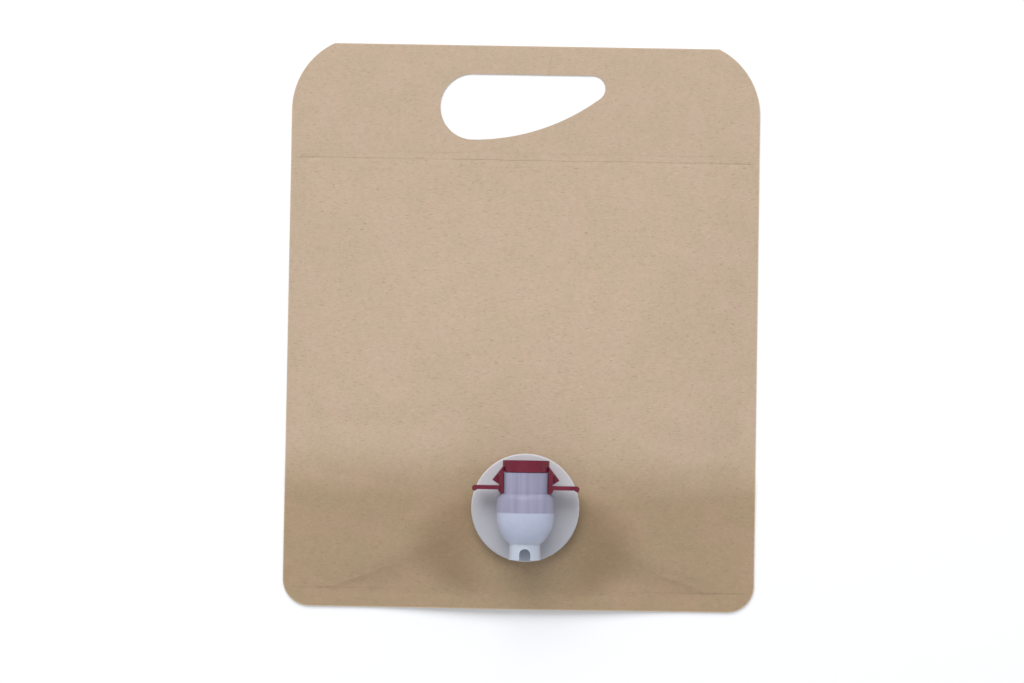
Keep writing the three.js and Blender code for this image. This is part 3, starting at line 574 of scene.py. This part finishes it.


# The kraft paper: its clouds, painted shade below the ridge and beside the tap, fibres, specks, cut edge,
# and lines with painted shade along the creases

KRAFT_UPPER = ((195, 173, 147), (199, 175, 151))
# Painted shade: the paper's colour below the ridge, where the panel slopes away from the light
KRAFT_LOWER_PAINTED_SHADE = ((172, 150, 119), (176, 151, 122))
# Painted shade in patches left and right below the tap, where the panel falls away beside the gland
KRAFT_TAP_SHADE = (136, 112, 82)
KRAFT_FIBRE_DARK, KRAFT_FIBRE_LIGHT = (140, 114, 84), (218, 198, 170)
# The last of these is the painted shade along the crease and the seam
KRAFT_SPECK, KRAFT_EDGE, KRAFT_CREASE_SHADE = (120, 92, 62), (222, 200, 168), (128, 98, 72)
# Painted shade below the ridge begins and is full at these places on the y axis, in metres
PAINTED_SHADE_TOP, PAINTED_SHADE_BOTTOM = -0.052, -0.084
TAP_SHADE_BELOW = 18 * MM
TAP_SHADE_HALF_WIDTH, TAP_SHADE_HALF_HEIGHT = 0.055, 0.028


def kraft_material():
    """Kraft paper: pale clouds, short fibres, the sealed head's crease and a light cut edge."""
    n = Nodes("kraft_paper")
    x, y = n.place("X"), n.place("Y")
    # Painted shade: below the ridge the paper turns darker along a wavy edge, and light fibres thin out
    # there
    uneven = n.math("MULTIPLY_ADD", n.math("SUBTRACT", n.noise(16, 2), 0.5), 0.016, y)
    low = n.smooth(uneven, PAINTED_SHADE_TOP, PAINTED_SHADE_BOTTOM)
    clouds = n.noise(70, 3, 0.5)
    upper, lower = [
        n.ramp(clouds, [(0.40, rgb(*dark)), (0.60, rgb(*pale))]) for dark, pale in (KRAFT_UPPER, KRAFT_LOWER_PAINTED_SHADE)
    ]
    base = n.mix(low, upper, lower)
    # Painted shade beside the tap: an oval below it, faded out in the middle and half mixed in
    along = n.math("DIVIDE", n.math("SUBTRACT", x, TAP[0] * MM), TAP_SHADE_HALF_WIDTH)
    across = n.math("DIVIDE", n.math("SUBTRACT", y, TAP[1] * MM - TAP_SHADE_BELOW), TAP_SHADE_HALF_HEIGHT)
    apart = n.math("ADD", n.math("POWER", along, 2.0), n.math("POWER", across, 2.0))
    sides = n.smooth(n.math("ABSOLUTE", along), 0.2, 0.62)
    beside = n.math("MULTIPLY", n.smooth(apart, 1.2, 0.5), sides)
    base = n.mix(n.math("MULTIPLY", beside, 0.5), base, rgb(*KRAFT_TAP_SHADE))
    mottle = n.ramp(n.noise(380, 4, 0.65), [(0.36, 0.485), (0.64, 0.515)])
    base = n.mix(1.0, base, mottle, "OVERLAY")
    pale = n.math("MULTIPLY_ADD", low, -0.2, 0.3)
    for turn, offset in ((0.15, 0.0), (1.0, 0.1), (1.9, 0.2), (2.6, 0.3)):
        fibre = n.noise(2100, 1, 0.4, (0.22, 1, 1), (0, 0, turn), 0.4, offset)
        dark = n.ramp(fibre, [(0.68, 0.0), (0.75, 1.0)])
        base = n.mix(n.math("MULTIPLY", dark, 0.34), base, rgb(*KRAFT_FIBRE_DARK))
        light = n.ramp(fibre, [(0.25, 1.0), (0.32, 0.0)])
        base = n.mix(n.math("MULTIPLY", light, pale), base, rgb(*KRAFT_FIBRE_LIGHT))
    speck = n.ramp(n.noise(1300, 2, 0.5, (1, 0.5, 1), (0, 0, 0.4)), [(0.72, 0.0), (0.76, 1.0)])
    base = n.mix(n.math("MULTIPLY", speck, 0.35), base, rgb(*KRAFT_SPECK))
    rim = n.new("ShaderNodeAttribute", attribute_name="rim").outputs["Fac"]
    base = n.mix(n.math("MULTIPLY", rim, 0.55), base, rgb(*KRAFT_EDGE))

    # Painted shade: darker lines along the head's crease, a faint fold above it and the bottom seam,
    # strongest at the corners; the same lines also dent the bump
    crease = n.line(x, y, CAVITY_TOP * MM, 0.0011, 0.00042, 0.55)
    faint = n.line(x, y, (CAVITY_TOP + 3.2) * MM, 0.002, 0.0004, 0.62)
    seam = n.line(x, y, (CAVITY_LOW - 0.4) * MM, 0.0012, 0.0004, 0.56)
    corners = n.smooth(n.math("ABSOLUTE", x), 0.055, 0.085)
    seam = n.math("MULTIPLY", seam, n.math("MULTIPLY_ADD", corners, 0.7, 0.1))
    lines = n.math("ADD", n.math("ADD", crease, n.math("MULTIPLY", faint, 0.4)), seam)
    base = n.mix(n.math("MULTIPLY", lines, 0.3), base, rgb(*KRAFT_CREASE_SHADE))

    rough = n.ramp(n.noise(600, 3), [(0.3, 0.74), (0.7, 0.86)])
    normal = n.bump(n.noise(2600, 2, 0.6), 0.2, 0.00006)
    normal = n.bump(n.noise(420, 3, 0.6), 0.22, 0.0002, normal)
    normal = n.bump(n.math("SUBTRACT", 1.0, lines), 0.6, 0.0002, normal)
    n.set(Base_Color=base, Roughness=rough, Normal=normal, Specular_IOR_Level=0.22)
    return n.material


def film_material():
    """The laminate's inner side."""
    n = Nodes("film_side")
    cloud = n.ramp(n.noise(200, 3), [(0.35, rgb(196, 190, 180)), (0.65, rgb(214, 208, 198))])
    n.set(Base_Color=cloud, Roughness=0.45)
    return n.material


def edge_material():
    """The laminate's cut edge."""
    n = Nodes("cut_edge")
    plies = n.noise(60, 2, 0.5, (1, 1, 60))
    colour = n.ramp(plies, [(0.4, rgb(176, 148, 112)), (0.6, rgb(222, 208, 186))])
    n.set(Base_Color=colour, Roughness=0.75)
    return n.material


DISC_FACE, BARREL_START = 0.0172, 0.0182  # heights between which the disc's colour gives way
TINT_HALF_WIDTH = 0.0134
TINT_EDGE = 0.0003
NOZZLE_START, NOZZLE_END = (TAP[1] - 13) * MM, (TAP[1] - 17) * MM
# Painted shade on the disc: it darkens between these places on the y axis, towards its foot
DISC_SHADE_TOP, DISC_SHADE_FOOT = (TAP[1] + 20) * MM, (TAP[1] - 22) * MM


def tap_material(red_line):
    """Milky plastic. Above red_line the barrel shows the wine-red pieces inside as a faint purple."""
    n = Nodes("milky_plastic")
    x, y, z = n.place("X"), n.place("Y"), n.place("Z")
    above = n.smooth(y, red_line - TINT_EDGE, red_line + TINT_EDGE)
    barrel = n.smooth(z, DISC_FACE, BARREL_START)
    nozzle = n.smooth(y, NOZZLE_START, NOZZLE_END)
    across = n.math("DIVIDE", n.math("ABSOLUTE", n.math("SUBTRACT", x, TAP[0] * MM)), TINT_HALF_WIDTH)
    core = n.math("SUBTRACT", 1.0, n.math("MULTIPLY", n.math("POWER", across, 2.0), 0.35))
    tint = n.math("MULTIPLY", n.math("MULTIPLY", above, barrel), core)
    clouds = n.noise(160, 3)
    streaks = n.noise(380, 2, 0.5, (1, 0.04, 0.2))
    white = n.ramp(clouds, [(0.3, rgb(183, 190, 210)), (0.7, rgb(191, 197, 216))])
    purple = n.ramp(streaks, [(0.35, rgb(150, 146, 169)), (0.65, rgb(164, 160, 184))])
    disc = n.ramp(clouds, [(0.3, rgb(206, 204, 207)), (0.7, rgb(212, 210, 213))])
    # Painted shade: the disc turns darker towards its foot, where the barrel and wings shade it
    foot = n.smooth(y, DISC_SHADE_TOP, DISC_SHADE_FOOT)
    disc = n.mix(foot, disc, rgb(187, 187, 191))
    # Painted light: the nozzle is a little lighter than the barrel, to lift it out of the shade it sits in
    spout_painted_light = n.ramp(clouds, [(0.3, rgb(190, 198, 210)), (0.7, rgb(198, 205, 216))])
    colour = n.mix(barrel, disc, n.mix(nozzle, white, spout_painted_light))
    colour = n.mix(tint, colour, purple)
    rough = n.ramp(n.noise(500, 2), [(0.3, 0.34), (0.7, 0.44)])
    normal = n.bump(n.noise(700, 2), 0.08, 0.0001)
    n.set(Base_Color=colour, Roughness=rough, Normal=normal, Specular_IOR_Level=0.3)
    n.set(Subsurface_Weight=0.2, Subsurface_Scale=0.002)
    n.shader.inputs["Subsurface Radius"].default_value = (1.0, 0.9, 0.95)
    return n.material


def plastic(name, dark, light, roughness, gloss=0.3):
    n = Nodes(name)
    colour = n.ramp(n.noise(220, 3), [(0.3, dark), (0.7, light)])
    rough = n.ramp(n.noise(600, 2), [(0.3, roughness - 0.05), (0.7, roughness + 0.05)])
    normal = n.bump(n.noise(900, 2), 0.1, 0.0001)
    n.set(Base_Color=colour, Roughness=rough, Normal=normal, Specular_IOR_Level=gloss)
    return n.material


# The pouch

STRIP_POINTS = 40


def gusset_outline(step):
    """The part of the pouch's outline below the gusset's fold."""
    lx, ly = HALF_W - LOW_RADIUS, -HALF_H + LOW_RADIUS
    turn = arc_steps(LOW_RADIUS, 90, step)
    return (
        line((HALF_W, FOLD_Y), (-HALF_W, FOLD_Y), step)
        + line((-HALF_W, FOLD_Y), (-HALF_W, ly), step)
        + arc(-lx, ly, LOW_RADIUS, 180, 270, turn)
        + line((-lx, -HALF_H), (lx, -HALF_H), step)
        + arc(lx, ly, LOW_RADIUS, 270, 360, turn)
        + line((HALF_W, ly), (HALF_W, FOLD_Y), step)
    )


def add_front(shell):
    outer = pouch_outline(GRID)
    holes = [handle_outline(GRID * 0.7), arc(*TAP, NECK_HOLE, 0, 360, 48)]
    flat, tris = triangulate(outer, holes, GRID, fine=True)
    top = panel_height(*flat.T) + relief(*flat.T)
    shell.sheet(flat, tris, top, top - FILM, "kraft", "film", len(outer))


def add_back(shell):
    outer = pouch_outline(GRID)
    flat, tris = triangulate(outer, [handle_outline(GRID * 0.7)], COARSE)
    level = np.zeros(len(flat))
    shell.sheet(flat, tris, level + FILM, level, "film", "kraft", len(outer))


def add_gusset(shell):
    """Two legs of laminate with a slit between them, open at the bottom edge and shut at the sides."""
    flat, tris = triangulate(gusset_outline(GRID), [], COARSE)
    x, y = flat.T
    level = np.zeros(len(flat))
    shell.sheet(flat, tris, level + 2 * FILM, level + FILM, "kraft", "film")
    lift = lip_lift(x, y)
    welded = eased(np.abs(x), CAVITY_X - 0.5, CAVITY_X + 0.5)
    slit_top = (GUSSET_CEILING + lift) * (1 - welded) + 2 * FILM * welded
    shell.sheet(flat, tris, GUSSET_CEILING + FILM + lift, slit_top, "film", "kraft")
    xs = np.linspace(-CAVITY_X, CAVITY_X, STRIP_POINTS)
    row = np.c_[xs, np.full(STRIP_POINTS, FOLD_Y)]
    low, high = (np.c_[row, np.full(STRIP_POINTS, level)] for level in (2 * FILM, GUSSET_CEILING))
    shell.strip(low, high, "kraft")


def make_pouch():
    shell = Shell()
    add_front(shell)
    add_back(shell)
    add_gusset(shell)
    return shell.build("pouch_laminate", MATERIALS)


MATERIALS = {"kraft": kraft_material(), "film": film_material(), "edge": edge_material()}
pouch = make_pouch()
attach(pouch, "pouch")
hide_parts("pouch")


# The tap's pieces keep their CAD meshes

RED_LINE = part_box("valve_plug")[0].y
LOOKS = {
    "gland": plastic("white_polyethylene", rgb(206, 208, 212), rgb(220, 222, 226), 0.5),
    "tap_body": tap_material(RED_LINE),
    "grip_ring": plastic("wine_red", rgb(106, 22, 44), rgb(118, 28, 52), 0.4, 0.35),
    "diaphragm": plastic("red_elastomer", rgb(112, 24, 42), rgb(124, 30, 50), 0.65, 0.2),
    "push_button": plastic("red_button", rgb(112, 22, 42), rgb(124, 30, 50), 0.45, 0.3),
    "valve_stem": plastic("stem_white", rgb(206, 208, 214), rgb(220, 222, 226), 0.45),
    "valve_plug": plastic("red_plug", rgb(108, 22, 40), rgb(122, 30, 48), 0.6, 0.2),
}
SHARP_ANGLE = math.radians(32)


def smoothed():
    """A modifier that shades round faces smooth and keeps the edges between flat ones sharp."""
    tree = bpy.data.node_groups.new("shade_round_faces", "GeometryNodeTree")
    tree.interface.new_socket("Geometry", in_out="INPUT", socket_type="NodeSocketGeometry")
    tree.interface.new_socket("Geometry", in_out="OUTPUT", socket_type="NodeSocketGeometry")
    start = tree.nodes.new("NodeGroupInput")
    bare = tree.nodes.new("GeometryNodeRemoveAttribute")
    bare.inputs["Name"].default_value = "custom_normal"
    weld = tree.nodes.new("GeometryNodeMergeByDistance")
    weld.inputs["Distance"].default_value = 2e-6
    faces = tree.nodes.new("GeometryNodeSetShadeSmooth")
    faces.domain = "FACE"
    angle = tree.nodes.new("GeometryNodeInputMeshEdgeAngle")
    steep = tree.nodes.new("FunctionNodeCompare")
    steep.operation = "GREATER_THAN"
    steep.inputs["B"].default_value = SHARP_ANGLE
    edges = tree.nodes.new("GeometryNodeSetShadeSmooth")
    edges.domain = "EDGE"
    edges.inputs["Shade Smooth"].default_value = False
    end = tree.nodes.new("NodeGroupOutput")
    link = tree.links.new
    link(start.outputs[0], bare.inputs["Geometry"])
    link(bare.outputs["Geometry"], weld.inputs["Geometry"])
    link(weld.outputs["Geometry"], faces.inputs["Geometry"])
    link(faces.outputs["Geometry"], edges.inputs["Geometry"])
    link(angle.outputs["Unsigned Angle"], steep.inputs["A"])
    link(steep.outputs["Result"], edges.inputs["Selection"])
    link(edges.outputs["Geometry"], end.inputs[0])
    return tree


SMOOTHED = smoothed()
for name, material in LOOKS.items():
    if name == "diaphragm":
        continue
    obj = nodes[name]
    obj.data.materials.clear()
    obj.data.materials.append(material)
    modifier = obj.modifiers.new("round_faces", "NODES")
    modifier.node_group = SMOOTHED


# The diaphragm: radii and wall in millimetres

DIAPHRAGM_TURNS, CONE_POINTS = 64, 9
DIAPHRAGM_WALL = 0.5
CROWN_HOLE, CROWN_RADIUS, FOOT_RADIUS, RIM_RADIUS = 3.7, 4.6, 7.8, 9.65


def make_diaphragm():
    """The elastic dome: a crown with a hole, a cone and a flat rim, turned round the diaphragm's centre."""
    low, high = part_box("diaphragm")
    height = (high.y - low.y) / MM
    share = eased(np.linspace(0, 1, CONE_POINTS), 0, 1)
    slope = np.linspace(CROWN_RADIUS, FOOT_RADIUS, CONE_POINTS)
    cone = np.c_[slope, (height - DIAPHRAGM_WALL) * (1 - share)]
    under = np.r_[[(CROWN_HOLE, height - DIAPHRAGM_WALL)], cone, [(RIM_RADIUS, 0)]]
    over = under[::-1] + (0, DIAPHRAGM_WALL)
    profile = np.r_[under, over]
    angles = np.linspace(0, 2 * math.pi, DIAPHRAGM_TURNS, endpoint=False)
    radius, level = profile[:, 0] * MM, profile[:, 1] * MM
    centre_x, centre_z = (low.x + high.x) / 2, (low.z + high.z) / 2
    points = [
        (centre_x + r * math.cos(a), low.y + h, centre_z + r * math.sin(a))
        for a in angles
        for r, h in zip(radius, level)
    ]
    n = len(profile)
    faces = []
    for i in range(DIAPHRAGM_TURNS):
        a, b = i * n, (i + 1) % DIAPHRAGM_TURNS * n
        for j in range(n):
            faces.append((a + j, a + (j + 1) % n, b + (j + 1) % n, b + j))
    mesh = bpy.data.meshes.new("diaphragm_dome")
    mesh.from_pydata(points, [], faces)
    mesh.materials.append(LOOKS["diaphragm"])
    mesh.shade_smooth()
    dome = bpy.data.objects.new("diaphragm_dome", mesh)
    bpy.context.scene.collection.objects.link(dome)
    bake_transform(dome)
    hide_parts("diaphragm")


make_diaphragm()


# Floor, light, world and camera, in metres

FLOOR_HALF, FLOOR_DROP = 6.0, 0.0002
GLOW_NEAR, GLOW_FAR = 0.12, 0.92  # how much the floor glows for the camera, by the pouch and far off
GLOW_START, GLOW_END = 0.3, 2.2  # square of the distance over which it changes, in square metres
CAMERA_DISTANCE = 1.3
CAMERA_TILT, CAMERA_ROLL = math.radians(2.0), math.radians(0.957)
PICTURE_WIDTH = 1024 * 0.4688 * MM  # the photo's width times the size of a pixel at the pouch
AIM_X, AIM_Y = -4.95 * MM, -7.0 * MM


def floor():
    mesh = bpy.data.meshes.new("floor")
    half = FLOOR_HALF
    corners = [(-half, -half, 0), (half, -half, 0), (half, half, 0), (-half, half, 0)]
    mesh.from_pydata(corners, [], [(0, 1, 2, 3)])
    obj = bpy.data.objects.new("floor", mesh)
    obj.location.z = -FLOOR_DROP
    bpy.context.scene.collection.objects.link(obj)
    n = Nodes("pale_floor")
    n.set(Base_Color=(0.93, 0.93, 0.93), Roughness=0.9, Specular_IOR_Level=0.1)
    seen = n.new("ShaderNodeLightPath").outputs["Is Camera Ray"]
    away = n.math("ADD", n.math("POWER", n.place("X"), 2.0), n.math("POWER", n.place("Y"), 2.0))
    glow = n.math("MULTIPLY_ADD", n.smooth(away, GLOW_START, GLOW_END), GLOW_FAR - GLOW_NEAR, GLOW_NEAR)
    n.set(Emission_Color=(1.0, 1.0, 1.0), Emission_Strength=n.math("MULTIPLY", seen, glow))
    mesh.materials.append(n.material)


def area_light(name, place, size, power):
    light = bpy.data.lights.new(name, "AREA")
    light.shape = "SQUARE"
    light.size = size
    light.energy = power
    obj = bpy.data.objects.new(name, light)
    obj.location = place
    obj.rotation_euler = (Vector((0, 0, 0)) - Vector(place)).to_track_quat("-Z", "Y").to_euler()
    bpy.context.scene.collection.objects.link(obj)


def camera():
    """Above the pouch and a little towards its foot, with the roll that the photo shows."""
    distance, tilt, roll = CAMERA_DISTANCE, CAMERA_TILT, CAMERA_ROLL
    data = bpy.data.cameras.new("camera")
    data.sensor_width = 36
    data.lens = data.sensor_width * distance / PICTURE_WIDTH
    obj = bpy.data.objects.new("camera", data)
    right = Vector((math.cos(roll), math.sin(roll), 0))
    up = Vector((-math.sin(roll), math.cos(roll), 0))
    target = right * AIM_X + up * AIM_Y
    obj.location = target - up * (distance * math.sin(tilt)) + Vector((0, 0, distance * math.cos(tilt)))
    obj.rotation_euler = (Matrix.Rotation(roll, 3, "Z") @ Matrix.Rotation(tilt, 3, "X")).to_euler()
    bpy.context.scene.collection.objects.link(obj)
    bpy.context.scene.camera = obj


def studio_world():
    """Even soft light all round. The camera itself sees white."""
    world = bpy.data.worlds.new("studio")
    world.use_nodes = True
    tree = world.node_tree
    light = tree.nodes["Background"]
    light.inputs["Color"].default_value = (0.96, 0.98, 1.04, 1)
    light.inputs["Strength"].default_value = 0.575
    white = tree.nodes.new("ShaderNodeBackground")
    white.inputs["Color"].default_value = (1, 1, 1, 1)
    white.inputs["Strength"].default_value = 1.0
    path = tree.nodes.new("ShaderNodeLightPath")
    mix = tree.nodes.new("ShaderNodeMixShader")
    tree.links.new(path.outputs["Is Camera Ray"], mix.inputs[0])
    tree.links.new(light.outputs[0], mix.inputs[1])
    tree.links.new(white.outputs[0], mix.inputs[2])
    tree.links.new(mix.outputs[0], tree.nodes["World Output"].inputs["Surface"])
    bpy.context.scene.world = world


floor()
area_light("key", (-0.45, 1.8, 2.3), 2.2, 56)
camera()

studio_world()
bpy.context.scene.view_settings.view_transform = "Standard"
